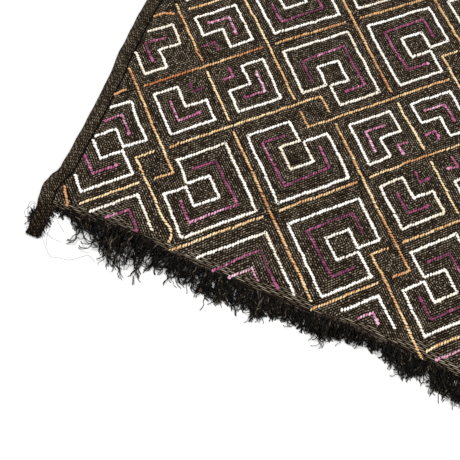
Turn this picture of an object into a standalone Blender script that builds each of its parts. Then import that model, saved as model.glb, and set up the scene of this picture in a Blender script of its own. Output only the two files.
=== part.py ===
"""Kuba raffia panel: a dark woven cloth with a rolled hem and a cut raffia fringe.

Metres, +Z up. The cloth lies on a flat surface at z = 0. X runs along the fringed edge and
Y along the side hem. Everything is worked out from the panel's fringed corner, and then moved
so that the origin is on the surface, under the middle of the whole piece.
"""
import math
import random

import bmesh
import bpy
from mathutils import Vector

MM = 0.001

# The woven panel
PANEL_WIDTH = 560 * MM
PANEL_HEIGHT = 480 * MM
CLOTH_THICKNESS = 1.8 * MM
GRID_STEP = 13.5 * MM

# The rolled hem on both sides and along the top, which is part of the cloth
HEM_WIDTH = 8.5 * MM
HEM_HEIGHT = 4.0 * MM
HEM_ROUNDNESS = 0.6
HEM_STATIONS = (0.0, 0.15, 0.5, 0.85, 1.0, 1.4)
EDGE_PULL = 60 * MM

# The end of the side hem, which sticks out past the fringed edge as a stub
TAIL_LENGTH = 22 * MM
TAIL_ROWS = 4
TAIL_END_HEIGHT = 2.4 * MM

# The fringed edge is not quite straight
ROOT_WAVE = 0.9 * MM
ROOT_WAVE_LENGTH = 149 * MM
ROOT_WAVE_CREST = 56 * MM

# The cloth lifts in low ripples along the fringed edge
RIPPLE_HEIGHT = 4.0 * MM
RIPPLE_DEPTH = 62 * MM

# The fringe: cut warp ends in small locks, on the narrow strip that they hang from
JOIN_GAP = 0.3 * MM
STRIP_WIDTH = 3.0 * MM
STRIP_THICKNESS = 1.6 * MM
FRINGE_START = 14 * MM
FRINGE_END_INSET = 3 * MM
LOCK_PITCH = 2.6 * MM
LOCK_STAGES = ((0.5, 0.78, 1.5 * MM), (1.0, 0.42, 0.8 * MM))   # share of length, of pitch, thickness
LEAN_REACH = 2.2 * MM
LEAN_LOCKS = 19
LEAN_JITTER = 0.3 * MM
LENGTH_JITTER = 0.13
FRINGE_SEED = 7

# Side hem's outline: (distance up from the fringed edge, how far it lies in from the straight line)
SIDE_OUTLINE = (
    (-22 * MM, 5.0 * MM),
    (-15 * MM, 3.2 * MM),
    (-7 * MM, 2.0 * MM),
    (4 * MM, 0.3 * MM),
    (9 * MM, -0.9 * MM),
    (15 * MM, 0.3 * MM),
    (23 * MM, 3.2 * MM),
    (66 * MM, 2.6 * MM),
    (92 * MM, 1.8 * MM),
    (112 * MM, -0.5 * MM),
    (144 * MM, -1.6 * MM),
    (210 * MM, 0.2 * MM),
    (300 * MM, -0.8 * MM),
    (390 * MM, 0.6 * MM),
    (480 * MM, -0.4 * MM),
)

# Soft billows in the middle: (along X, along Y, direction in degrees, half length, half width, height)
BILLOWS = (
    (95 * MM, 190 * MM, 62, 95 * MM, 34 * MM, 2.2 * MM),
    (205 * MM, 118 * MM, 24, 80 * MM, 30 * MM, 1.8 * MM),
    (262 * MM, 282 * MM, -38, 105 * MM, 36 * MM, 2.6 * MM),
    (470 * MM, 150 * MM, 70, 90 * MM, 34 * MM, 2.4 * MM),
    (120 * MM, 420 * MM, 8, 90 * MM, 30 * MM, 2.6 * MM),
    (500 * MM, 440 * MM, -52, 70 * MM, 34 * MM, 3.4 * MM),
)
BILLOW_FLOOR = 0.14

# Fringe length: (distance along the edge, length from the edge to the tips)
FRINGE_LENGTHS = (
    (14 * MM, 7 * MM),
    (32 * MM, 15 * MM),
    (60 * MM, 20 * MM),
    (84 * MM, 21 * MM),
    (100 * MM, 15 * MM),
    (112 * MM, 18 * MM),
    (128 * MM, 14 * MM),
    (142 * MM, 18 * MM),
    (158 * MM, 11 * MM),
    (180 * MM, 15 * MM),
    (207 * MM, 9 * MM),
    (238 * MM, 15 * MM),
    (266 * MM, 17 * MM),
    (340 * MM, 14 * MM),
    (410 * MM, 18 * MM),
    (480 * MM, 13 * MM),
    (560 * MM, 16 * MM),
)


def clear_scene():
    """Remove whatever objects the file holds."""
    for obj in list(bpy.data.objects):
        bpy.data.objects.remove(obj, do_unlink=True)


def interpolate(table, place):
    """Read a two-column table at a place, with a smooth step between its rows."""
    if place <= table[0][0]:
        return table[0][1]
    for (start, first), (end, second) in zip(table, table[1:]):
        if place <= end:
            share = (place - start) / (end - start)
            return first + (second - first) * share * share * (3 - 2 * share)
    return table[-1][1]


def edge_line(x):
    """Y of the cloth's fringed edge at a distance along it."""
    return ROOT_WAVE * math.cos(2 * math.pi * (x - ROOT_WAVE_CREST) / ROOT_WAVE_LENGTH)


def billow(x, y, row):
    """Height of one soft billow, exactly nothing outside it."""
    centre_x, centre_y, degrees, half_length, half_width, height = row
    turn = math.radians(degrees)
    along = (x - centre_x) * math.cos(turn) + (y - centre_y) * math.sin(turn)
    across = (y - centre_y) * math.cos(turn) - (x - centre_x) * math.sin(turn)
    swell = math.exp(-(along / half_length) ** 2 - (across / half_width) ** 2)
    return height * max(0.0, swell - BILLOW_FLOOR) / (1 - BILLOW_FLOOR)


def lift(x, y):
    """Height of the cloth's underside over the surface that it lies on."""
    wave = max(0.0, math.cos(2 * math.pi * (x - ROOT_WAVE_CREST) / ROOT_WAVE_LENGTH))
    fade = max(0.0, 1 - max(y, 0.0) / RIPPLE_DEPTH)
    ripple = RIPPLE_HEIGHT * wave ** 1.5 * fade * fade * (3 - 2 * fade)
    return max([ripple] + [billow(x, y, row) for row in BILLOWS])


def hem_swell(distance):
    """How full the rolled hem is at a distance in from the cloth's edge, from 0 to 1."""
    across = distance / HEM_WIDTH
    if across <= 0 or across >= 1:
        return 0.0
    return math.sin(math.pi * across) ** HEM_ROUNDNESS


def thickness(x, y):
    """Thickness of the cloth, with its rolled hems, at a place on the straight panel."""
    swell = max(hem_swell(x), hem_swell(PANEL_WIDTH - x), hem_swell(PANEL_HEIGHT - y))
    full = HEM_HEIGHT
    if y < 0:
        swell = hem_swell(x / HEM_STATIONS[-1])
        full = HEM_HEIGHT + (TAIL_END_HEIGHT - HEM_HEIGHT) * -y / TAIL_LENGTH
    return CLOTH_THICKNESS + (full - CLOTH_THICKNESS) * swell


def evenly(start, end, step):
    """Places between two ends, without the ends, about a step apart."""
    count = round((end - start) / step)
    return [start + (end - start) * index / count for index in range(1, count)]


def cloth_columns():
    """Places across the panel: close together over both hems."""
    hem = [station * HEM_WIDTH for station in HEM_STATIONS]
    far_hem = [PANEL_WIDTH - place for place in reversed(hem)]
    return hem + evenly(hem[-1], far_hem[0], GRID_STEP) + far_hem


def cloth_rows():
    """Places up the panel: the stub's rows, the woven rows and the top hem's rows."""
    stub = [-TAIL_LENGTH * (TAIL_ROWS - index) / TAIL_ROWS for index in range(TAIL_ROWS)]
    top_hem = [PANEL_HEIGHT - station * HEM_WIDTH for station in reversed(HEM_STATIONS)]
    return stub + [0.0] + evenly(0.0, top_hem[0], GRID_STEP) + top_hem


def laid_place(x, y):
    """Where a place on the straight panel lies once its uneven outline is drawn in."""
    inward = interpolate(SIDE_OUTLINE, y)
    if y < 0:
        stub_width = HEM_STATIONS[-1] * HEM_WIDTH
        return x + inward * (1 - x / stub_width), y
    side_share = max(0.0, 1 - x / EDGE_PULL)
    edge_share = max(0.0, 1 - y / EDGE_PULL)
    return x + inward * side_share, y + edge_line(x) * edge_share


def make_material(name, colour, roughness):
    """A plain Principled material."""
    material = bpy.data.materials.new(name)
    material.use_nodes = True
    shader = material.node_tree.nodes["Principled BSDF"]
    shader.inputs["Base Color"].default_value = (*colour, 1.0)
    shader.inputs["Roughness"].default_value = roughness
    return material


def add_object(name, bm, material, collection):
    """Turn a bmesh into a named object in the object's collection."""
    bmesh.ops.recalc_face_normals(bm, faces=bm.faces)
    mesh = bpy.data.meshes.new(name)
    bm.to_mesh(mesh)
    bm.free()
    mesh.materials.append(material)
    mesh.shade_smooth()
    obj = bpy.data.objects.new(name, mesh)
    collection.objects.link(obj)
    return obj


def rectangular_grid(columns, rows):
    """A flat grid with its lines at the given places, and each vertex's place on it."""
    bm = bmesh.new()
    bmesh.ops.create_grid(bm, x_segments=len(columns) - 1, y_segments=len(rows) - 1, size=1.0)
    for vertex in bm.verts:
        column = round((vertex.co.x + 1) / 2 * (len(columns) - 1))
        row = round((vertex.co.y + 1) / 2 * (len(rows) - 1))
        vertex.co = Vector((columns[column], rows[row], 0.0))
    return bm


def build_cloth(material, collection):
    """The panel with its hems and the hem's stub, one closed sheet."""
    bm = rectangular_grid(cloth_columns(), cloth_rows())
    stub_width = HEM_STATIONS[-1] * HEM_WIDTH
    beside_stub = []
    for face in bm.faces:
        centre = face.calc_center_median()
        if centre.y < 0 and centre.x > stub_width:
            beside_stub.append(face)
    bmesh.ops.delete(bm, geom=beside_stub, context="FACES")
    underside = list(bm.verts)
    raised = bmesh.ops.extrude_face_region(bm, geom=bm.faces[:], use_keep_orig=True)
    upper = [item for item in raised["geom"] if isinstance(item, bmesh.types.BMVert)]
    for vertex in underside:
        x, y = laid_place(vertex.co.x, vertex.co.y)
        vertex.co = Vector((x, y, lift(x, y)))
    for vertex in upper:
        x, y = laid_place(vertex.co.x, vertex.co.y)
        vertex.co = Vector((x, y, lift(x, y) + thickness(vertex.co.x, vertex.co.y)))
    return add_object("cloth", bm, material, collection)


def lock_lean(index, chance):
    """Sideways reach of a lock's tip: neighbours lean alike, so that locks never cross."""
    drift = math.sin(2 * math.pi * index / LEAN_LOCKS) + 0.5 * math.sin(index / LEAN_LOCKS)
    return LEAN_REACH * drift / 1.5 + chance.uniform(-LEAN_JITTER, LEAN_JITTER)


def build_fringe(material, collection):
    """The strip along the fringed edge, with a tapered lock drawn out of each piece of it."""
    span = PANEL_WIDTH - FRINGE_END_INSET - FRINGE_START
    lock_count = round(span / LOCK_PITCH)
    pitch = span / lock_count
    columns = [FRINGE_START + pitch * index for index in range(lock_count + 1)]
    bm = rectangular_grid(columns, [-JOIN_GAP - STRIP_WIDTH, -JOIN_GAP])
    underside = list(bm.verts)
    raised = bmesh.ops.extrude_face_region(bm, geom=bm.faces[:], use_keep_orig=True)
    upper = [item for item in raised["geom"] if isinstance(item, bmesh.types.BMVert)]
    for vertex in underside:
        vertex.co.z = lift(vertex.co.x, 0.0)
        vertex.co.y += edge_line(vertex.co.x)
    for vertex in upper:
        vertex.co.z = lift(vertex.co.x, 0.0) + STRIP_THICKNESS
        vertex.co.y += edge_line(vertex.co.x)
    bmesh.ops.recalc_face_normals(bm, faces=bm.faces)
    front = [face for face in bm.faces if face.normal.y < -0.9]
    front.sort(key=lambda face: face.calc_center_median().x)
    chance = random.Random(FRINGE_SEED)
    roots = []
    for index, face in enumerate(front):
        centre = face.calc_center_median()
        wanted = interpolate(FRINGE_LENGTHS, centre.x) - JOIN_GAP - STRIP_WIDTH
        length = wanted * chance.uniform(1 - LENGTH_JITTER, 1 + LENGTH_JITTER)
        roots.append((centre.copy(), length, lock_lean(index, chance)))
    caps = front
    for share, width_share, depth in LOCK_STAGES:
        caps = bmesh.ops.extrude_discrete_faces(bm, faces=caps)["faces"]
        caps.sort(key=lambda face: face.calc_center_median().x)
        for face, (root, length, lean) in zip(caps, roots):
            place_lock_section(face, root, share, length, lean, width_share * pitch, depth)
    return add_object("fringe", bm, material, collection)


def place_lock_section(face, root, share, length, lean, width, depth):
    """Move the end face of a lock to its place along the lock, resting on the surface."""
    centre = face.calc_center_median()
    low = lift(root.x, 0.0) * (1 - share) ** 2
    for vertex in face.verts:
        side = 0.5 if vertex.co.x > centre.x else -0.5
        top = depth if vertex.co.z > centre.z else 0.0
        x = root.x + lean * share ** 1.3 + side * width
        vertex.co = Vector((x, root.y - length * share, low + top))


def centre_on_surface(objects):
    """Move the meshes so that the origin is under the middle of the whole piece."""
    points = [vertex.co for obj in objects for vertex in obj.data.vertices]
    middle_x = (min(point.x for point in points) + max(point.x for point in points)) / 2
    middle_y = (min(point.y for point in points) + max(point.y for point in points)) / 2
    for obj in objects:
        for vertex in obj.data.vertices:
            vertex.co -= Vector((middle_x, middle_y, 0.0))


def main():
    clear_scene()
    collection = bpy.data.collections.new("kuba_raffia_cloth")
    bpy.context.scene.collection.children.link(collection)
    raffia = make_material("dark_raffia_weave", (0.032, 0.024, 0.014), 0.75)
    ends = make_material("black_raffia_ends", (0.008, 0.007, 0.005), 0.6)
    cloth = build_cloth(raffia, collection)
    fringe = build_fringe(ends, collection)
    centre_on_surface([cloth, fringe])


main()
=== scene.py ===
# %% [markdown]
# # An embroidered kuba raffia cloth
# A kuba cloth is a panel of dark woven raffia, worked all over with lines of bright raffia
# stitches. This one lies flat on a pale surface, seen from above its fringed corner.
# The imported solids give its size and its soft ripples. This script makes what is too fine for
# them: the weave, the rolled hem, every stitch of the embroidery, and the frayed ends.

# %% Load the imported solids
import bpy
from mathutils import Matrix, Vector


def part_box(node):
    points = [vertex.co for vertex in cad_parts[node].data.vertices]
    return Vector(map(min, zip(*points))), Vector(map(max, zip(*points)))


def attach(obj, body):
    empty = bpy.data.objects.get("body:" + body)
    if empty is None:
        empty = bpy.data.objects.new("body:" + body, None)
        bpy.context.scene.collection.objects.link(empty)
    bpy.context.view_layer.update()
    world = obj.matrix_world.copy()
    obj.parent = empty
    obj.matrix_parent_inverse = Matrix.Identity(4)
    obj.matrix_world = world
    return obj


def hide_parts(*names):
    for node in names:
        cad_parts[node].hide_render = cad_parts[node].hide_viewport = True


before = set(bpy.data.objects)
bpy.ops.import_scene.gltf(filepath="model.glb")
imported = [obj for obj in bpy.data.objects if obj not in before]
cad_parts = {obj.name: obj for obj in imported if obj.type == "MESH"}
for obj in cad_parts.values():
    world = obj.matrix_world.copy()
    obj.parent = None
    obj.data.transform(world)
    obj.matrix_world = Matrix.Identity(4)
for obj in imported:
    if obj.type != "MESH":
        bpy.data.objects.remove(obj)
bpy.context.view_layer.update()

import math
import random

import bmesh
import bpy
from mathutils import Matrix, Vector, noise

# %% [markdown]
# ## Sizes
# The cloth is drawn in its own panel frame. X runs along the fringed edge and Y up the hem,
# both in metres from the fringed corner. The solid's lowest corner lies a known way out from
# there, because the hem's outline bulges a little and its end sticks out past the fringe.

# %% The panel's frame
MM = 0.001
PANEL_WIDTH = 560 * MM
PANEL_HEIGHT = 480 * MM
CLOTH_THICKNESS = 1.8 * MM
HEM_WIDTH = 8.5 * MM
HEM_BULGE = 1.6 * MM
STUB_LENGTH = 22 * MM
STUB_WIDTH = 1.4 * HEM_WIDTH

cloth_low, cloth_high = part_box("cloth")
CORNER = Vector((cloth_low.x + HEM_BULGE, cloth_low.y + STUB_LENGTH, 0))
print("fringed corner at", [round(value, 4) for value in CORNER])

# %% [markdown]
# ## The camera
# The photograph looks down on the corner from a steep angle, a little turned and tilted. The
# camera is placed by where it looks and from how far, so that each number means something.

# %% Camera
LOOK_AT = (111.8 * MM, 27.4 * MM, CLOTH_THICKNESS)
VIEW_AZIMUTH = 10.5
VIEW_ELEVATION = 69.7
VIEW_DISTANCE = 408.6 * MM
VIEW_ROLL = 12.85
LENS = 54

turn, rise = math.radians(VIEW_AZIMUTH), math.radians(VIEW_ELEVATION)
back = Vector((math.sin(turn) * math.cos(rise), -math.cos(turn) * math.cos(rise), math.sin(rise)))
camera = bpy.data.objects.new("camera", bpy.data.cameras.new("camera"))
camera.data.lens = LENS
camera.data.clip_start = 0.01
facing = (-back).to_track_quat("-Z", "Y").to_matrix() @ Matrix.Rotation(math.radians(VIEW_ROLL), 3, "Z")
camera.matrix_world = Matrix.Translation(CORNER + Vector(LOOK_AT) + back * VIEW_DISTANCE) @ facing.to_4x4()
bpy.context.scene.collection.objects.link(camera)
bpy.context.scene.camera = camera
print("camera at", [round(value, 3) for value in camera.location])

# %% [markdown]
# ## How the cloth lies
# Loose cloth never lies dead flat. It lifts in low ripples along the fringed edge and in soft
# billows further in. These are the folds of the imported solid, as one height for each place, so
# that every stitch and thread can be laid on them.

# %% Ripples and billows
# The last weft threads slip a little way out over the fringe
LOOSE_EDGE = 2.4 * MM
# Slack for comparing places, because a mesh rounds them
HAIR = 0.01 * MM
RIPPLE_HEIGHT = 4.0 * MM
RIPPLE_DEPTH = 62 * MM
ROOT_WAVE = 0.9 * MM
ROOT_WAVE_LENGTH = 149 * MM
ROOT_WAVE_CREST = 56 * MM
EDGE_PULL = 60 * MM
BILLOW_FLOOR = 0.14
# Along X, along Y, direction in degrees, half length, half width, height
BILLOWS = (
    (95 * MM, 190 * MM, 62, 95 * MM, 34 * MM, 2.2 * MM),
    (205 * MM, 118 * MM, 24, 80 * MM, 30 * MM, 1.8 * MM),
    (262 * MM, 282 * MM, -38, 105 * MM, 36 * MM, 2.6 * MM),
    (470 * MM, 150 * MM, 70, 90 * MM, 34 * MM, 2.4 * MM),
    (120 * MM, 420 * MM, 8, 90 * MM, 30 * MM, 2.6 * MM),
    (500 * MM, 440 * MM, -52, 70 * MM, 34 * MM, 3.4 * MM),
)


def in_metres(*rows):
    """Rows of millimetres as rows of metres."""
    return [tuple(value * MM for value in row) for row in rows]


# Distance up from the fringed edge, how far the hem's outline lies in from the straight line
SIDE_OUTLINE = in_metres(
    (-22, 5.0), (-15, 3.2), (-7, 2.0), (4, 0.3), (9, -0.9), (15, 0.3), (23, 3.2), (66, 2.6), (92, 1.8),
    (112, -0.5), (144, -1.6), (210, 0.2), (300, -0.8), (390, 0.6), (480, -0.4)
)


def interpolate(table, place):
    """Read a two-column table at a place, with a smooth step between its rows."""
    if place <= table[0][0]:
        return table[0][1]
    for (start, first), (end, second) in zip(table, table[1:]):
        if place <= end:
            share = (place - start) / (end - start)
            return first + (second - first) * share * share * (3 - 2 * share)
    return table[-1][1]


def edge_line(x):
    """Y of the cloth's fringed edge at a distance along it."""
    return ROOT_WAVE * math.cos(2 * math.pi * (x - ROOT_WAVE_CREST) / ROOT_WAVE_LENGTH)


def billow(x, y, row):
    """Height of one soft billow, exactly nothing outside it."""
    centre_x, centre_y, degrees, half_length, half_width, height = row
    angle = math.radians(degrees)
    along = (x - centre_x) * math.cos(angle) + (y - centre_y) * math.sin(angle)
    across = (y - centre_y) * math.cos(angle) - (x - centre_x) * math.sin(angle)
    swell = math.exp(-(along / half_length) ** 2 - (across / half_width) ** 2)
    return height * max(0.0, swell - BILLOW_FLOOR) / (1 - BILLOW_FLOOR)


def lift(x, y):
    """Height of the cloth's underside over the surface that it lies on."""
    wave = max(0.0, math.cos(2 * math.pi * (x - ROOT_WAVE_CREST) / ROOT_WAVE_LENGTH))
    fade = max(0.0, 1 - max(y, 0.0) / RIPPLE_DEPTH)
    ripple = RIPPLE_HEIGHT * wave ** 1.5 * fade * fade * (3 - 2 * fade)
    return max([ripple] + [billow(x, y, row) for row in BILLOWS])


def laid_place(x, y):
    """Where a place on the straight panel lies once its uneven outline is drawn in."""
    inward = interpolate(SIDE_OUTLINE, y)
    if y < -LOOSE_EDGE - HAIR:
        return x + inward * (1 - x / STUB_WIDTH), y
    side_share = max(0.0, 1 - x / EDGE_PULL)
    edge_share = max(0.0, 1 - max(y, 0.0) / EDGE_PULL)
    return x + inward * side_share, y + edge_line(x) * edge_share


print("lift at the first ripple: %.1f mm" % (lift(ROOT_WAVE_CREST, 0) / MM))

# %% [markdown]
# ## The hand of the embroiderer
# The pattern is worked by eye, so its lines drift by a millimetre here and there. One smooth
# noise field moves everything that is drawn on the cloth, and so neighbouring lines stay neighbours.

# %% Hand drift
# Blender's vector noise follows the clock unless its seed is set
NOISE_SEED = 4
noise.seed_set(NOISE_SEED)
DRIFT = 0.5 * MM
DRIFT_SIZE = 42 * MM
WOBBLE = 0.5 * MM
WOBBLE_SIZE = 7 * MM


def hand_drift(x, y):
    """How far the hand has moved the pattern at a place on the panel."""
    slow = noise.noise_vector(Vector((x / DRIFT_SIZE, y / DRIFT_SIZE, 3.7)))
    quick = noise.noise_vector(Vector((x / WOBBLE_SIZE, y / WOBBLE_SIZE, 8.1)))
    return slow.x * DRIFT + quick.x * WOBBLE, slow.y * DRIFT + quick.y * WOBBLE


print("drift at 100, 100 mm:", [round(value / MM, 2) for value in hand_drift(0.1, 0.1)])

# %% [markdown]
# ## The chart
# The pattern is a common one in Kuba cloth: nested square figures in a net of orange lines. It
# is charted on a square lattice that stands at 45 degrees to the panel's edges. Small blocks and
# large blocks alternate as on a chequerboard, and each block is quartered. A small block has four
# angle figures, and a large one has four spirals. Where the corners of two large blocks overlap,
# their border lines end in little hooks, so the net never quite closes.

# %% Chart sizes, in lattice units
REPEAT = 108 * MM
FIRST_BLOCK = (53.9 * MM, 123.5 * MM)
SMALL_HALF = 0.42
LARGE_HALF = 0.58
LINE_GAP = 0.04
HOOK = 0.11
ANGLE_SIDE = 0.273
SPIRAL_SIDE = 0.445
ANGLE_OUTLINE = ((0, 0), (0.53, 0), (0.53, 0.5), (1, 0.5), (1, 1), (0, 1), (0, 0))
ANGLE_CORE = ((0.27, 0.26), (0.27, 0.74), (0.78, 0.75))
ANGLE_TICK = ((0.84, 0), (0.81, 0.23), (1.08, 0.21))
SPIRAL_OUTER = ((2.08, 1.8), (3, 1.8), (3, 0), (0, 0), (0, 3), (2, 3), (2, 1.95))
SPIRAL_INNER = ((2, 1.95), (1.1, 1.95), (1.1, 1), (2.08, 1), (2.08, 1.8))
SPIRAL_CORE = ((2.5, 1.35), (2.5, 0.45), (0.55, 0.5), (0.65, 2.45), (1.6, 2.45))
# Blocks that the hand has set a little off their place: block, shift along each lattice line
BLOCK_SHIFTS = {(0, 1): (-0.005, 0.024), (-1, 1): (0.0, -0.008), (0, 2): (0.0, -0.008)}
# Blocks where the hand left the rule: a border left short beside an added line, a border curved in
# at the fringed edge, a line run on past its end, and lines left out
SHORT_BORDER_BLOCK = (0, 0)
CURVED_BLOCK = (-1, 1)
LONG_LINE_BLOCK = (0, 1)
OPEN_BLOCK = (-1, 0)
# Quarters sewn with another thread: block and quarter
PINK_QUARTER = (1, 2, 1)
MAGENTA_QUARTER = (0, 1, 1)
NO_TICK_QUARTER = (0, 0, 1)
CURVED_BORDER = (
    (0.409, -0.042), (0.436, -0.072), (0.442, -0.105), (0.43, -0.165), (0.426, -0.21), (0.42, -0.58),
    (0.53, -0.58),
)
# Blocks charted on each side of the first, enough to cover the panel
BLOCK_REACH = 6


def on_panel(a, b):
    """The panel place of a chart point."""
    half_diagonal = REPEAT / math.sqrt(2)
    return FIRST_BLOCK[0] + (a + b) * half_diagonal, FIRST_BLOCK[1] + (a - b) * half_diagonal


def turned(point, quarter_turns):
    """A chart point turned about the block's middle."""
    a, b = point
    for _ in range(quarter_turns):
        a, b = -b, a
    return a, b


def small_block(i, j):
    """The lines of a small block, each a thread's name and chart points."""
    near, far = SMALL_HALF - LINE_GAP, LARGE_HALF
    border = ((-near, SMALL_HALF), (far, SMALL_HALF), (far, SMALL_HALF + HOOK))
    lines = [("orange", [turned(point, quarter) for point in border]) for quarter in range(4)]
    if (i, j) == SHORT_BORDER_BLOCK:
        lines[2] = ("orange", [(near, -SMALL_HALF), (LINE_GAP + 0.02, -SMALL_HALF)])
        lines.append(("orange", [(0, -LARGE_HALF + 0.1), (0, -near)]))
    if (i, j) == CURVED_BLOCK:
        lines[3] = ("orange", CURVED_BORDER)
    lines.append(("orange", [(-near, 0), (near, 0)]))
    lines.append(("orange", [(0, -near), (0, -LINE_GAP)]))
    lines.append(("orange", [(0, LINE_GAP), (0, near)]))
    margin = (SMALL_HALF - ANGLE_SIDE) / 2
    for quarter in range(4):
        figures = [("white", ANGLE_OUTLINE), ("magenta", ANGLE_CORE), ("magenta", ANGLE_TICK)]
        if (i, j, quarter) == NO_TICK_QUARTER:
            figures.pop()
        for thread, figure in figures:
            placed = [(margin - SMALL_HALF + x * ANGLE_SIDE, margin + y * ANGLE_SIDE) for x, y in figure]
            lines.append((thread, [turned(point, quarter) for point in placed]))
    return lines


def large_block(i, j):
    """The lines of a large block, each a thread's name and chart points."""
    near, centre_gap = LARGE_HALF - LINE_GAP, LINE_GAP + 0.01
    first = LARGE_HALF + 0.06 if (i, j) == LONG_LINE_BLOCK else near
    lines = [("orange", [(-first, 0), (-centre_gap, 0)])]
    if (i, j) != OPEN_BLOCK:
        lines.append(("orange", [(centre_gap, 0), (near, 0)]))
        lines.append(("orange", [(0, -near), (0, near)]))
    margin = (LARGE_HALF - SPIRAL_SIDE) / 2
    for quarter in range(4):
        outer = "pink" if (i, j, quarter) == PINK_QUARTER else "white"
        inner = "magenta" if (i, j, quarter) == MAGENTA_QUARTER else outer
        for thread, figure in ((outer, SPIRAL_OUTER), (inner, SPIRAL_INNER), ("magenta", SPIRAL_CORE)):
            placed = [(margin + x * SPIRAL_SIDE / 3, margin + y * SPIRAL_SIDE / 3) for x, y in figure]
            lines.append((thread, [turned(point, quarter) for point in placed]))
    return lines


def charted_lines():
    """Every line of the pattern, as a thread's name and points on the panel."""
    lines = []
    for i in range(-BLOCK_REACH, BLOCK_REACH + 1):
        for j in range(-BLOCK_REACH, BLOCK_REACH + 1):
            shift = BLOCK_SHIFTS.get((i, j), (0, 0))
            block = small_block(i, j) if (i + j) % 2 == 0 else large_block(i, j)
            for thread, points in block:
                moved = shift if thread != "orange" else (0, 0)
                placed = [on_panel(i + a + moved[0], j + b + moved[1]) for a, b in points]
                lines.append((thread, [Vector(point) for point in placed]))
    return lines


# Short pieces where the net meets the hem, which the hand put in freely: millimetres on the panel
HEM_PIECES = (
    ((11.2, 12.6), (15.0, 7.5), (18.6, 1.8)),
    ((8.3, 145.0), (12.6, 150.0), (18.9, 152.1)),
    ((10.3, 81.0), (12.6, 84.8), (15.9, 87.8)),
)


LINES = charted_lines()
LINES += [("deep", [Vector((x * MM, y * MM)) for x, y in piece]) for piece in HEM_PIECES]
print("charted lines:", len(LINES))

# %% [markdown]
# ## Finishes
# One function turns a paint chart's hex colour into the linear values that the shader wants, and
# one adds a node with its settings and links. Long sums are recipes: tables with one row a node.

# %% Material helpers
def linear(hex_colour):
    """A hex colour as linear red, green, blue and alpha."""
    channels = [int(hex_colour[place:place + 2], 16) / 255 for place in (1, 3, 5)]
    lit = [value / 12.92 if value <= 0.04045 else ((value + 0.055) / 1.055) ** 2.4 for value in channels]
    return lit + [1.0]


def add(tree, kind, settings=None, links=None):
    """Add a node, set its settings, and link or fill its inputs. Ramp stops have a place and a colour."""
    node = tree.nodes.new(kind)
    for key, value in (settings or {}).items():
        if key != "stops":
            setattr(node, key, value)
            continue
        stops = node.color_ramp.elements
        stops[0].position, stops[0].color = value[0][0], linear(value[0][1])
        stops[1].position, stops[1].color = value[-1][0], linear(value[-1][1])
        for position, hex_colour in value[1:-1]:
            stops.new(position).color = linear(hex_colour)
    for key, value in (links or {}).items():
        if isinstance(value, bpy.types.Node):
            value = value.outputs[0]
        if isinstance(value, bpy.types.NodeSocket):
            tree.links.new(value, node.inputs[key])
        else:
            node.inputs[key].default_value = value
    return node


def follow(tree, known, recipe):
    """Add a recipe's nodes. A row has a name, a Math or VectorMath operation, and the inputs."""
    for name, work, *inputs in recipe:
        kind, operation = work.split() if " " in work else ("Math", work)
        values = {place: known.get(value, value) for place, value in enumerate(inputs)}
        known[name] = add(tree, "ShaderNode" + kind, {"operation": operation}, values)
    return known


def new_finish(name, roughness):
    """A material with its node tree emptied but for the shader and the output."""
    finish = bpy.data.materials.new(name)
    finish.use_nodes = True
    tree = finish.node_tree
    shader = tree.nodes["Principled BSDF"]
    shader.inputs["Roughness"].default_value = roughness
    return finish, tree, shader


print("helpers ready")

# %% [markdown]
# ### Dark raffia ground
# The ground is raffia leaf fibre, dyed almost black and worked in close rows of small dull
# stitches. In each quarter of a block the rows go round and round, side by side with the bright
# lines. So the shader first finds the quarter's middle, then counts rows outward from there and
# stitches along each row. Each stitch is a low swelling with a shade of its own. Its colour is
# darkened towards its edges as painted shade in the gaps between stitches, and is lightest on its
# top as painted light.
# Near the fringe the rows give way to bare weft threads, which run straight along the edge.

# %% Rows of the ground
# Real sizes. They are two pixels apart in the render, which is just enough to show
ROW_PITCH = 1.35 * MM
STITCH_PITCH = 1.75 * MM
WEFT_PITCH = 1.1 * MM
# How far a bare weft thread keeps one shade
WEFT_STITCH = 8 * MM

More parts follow.
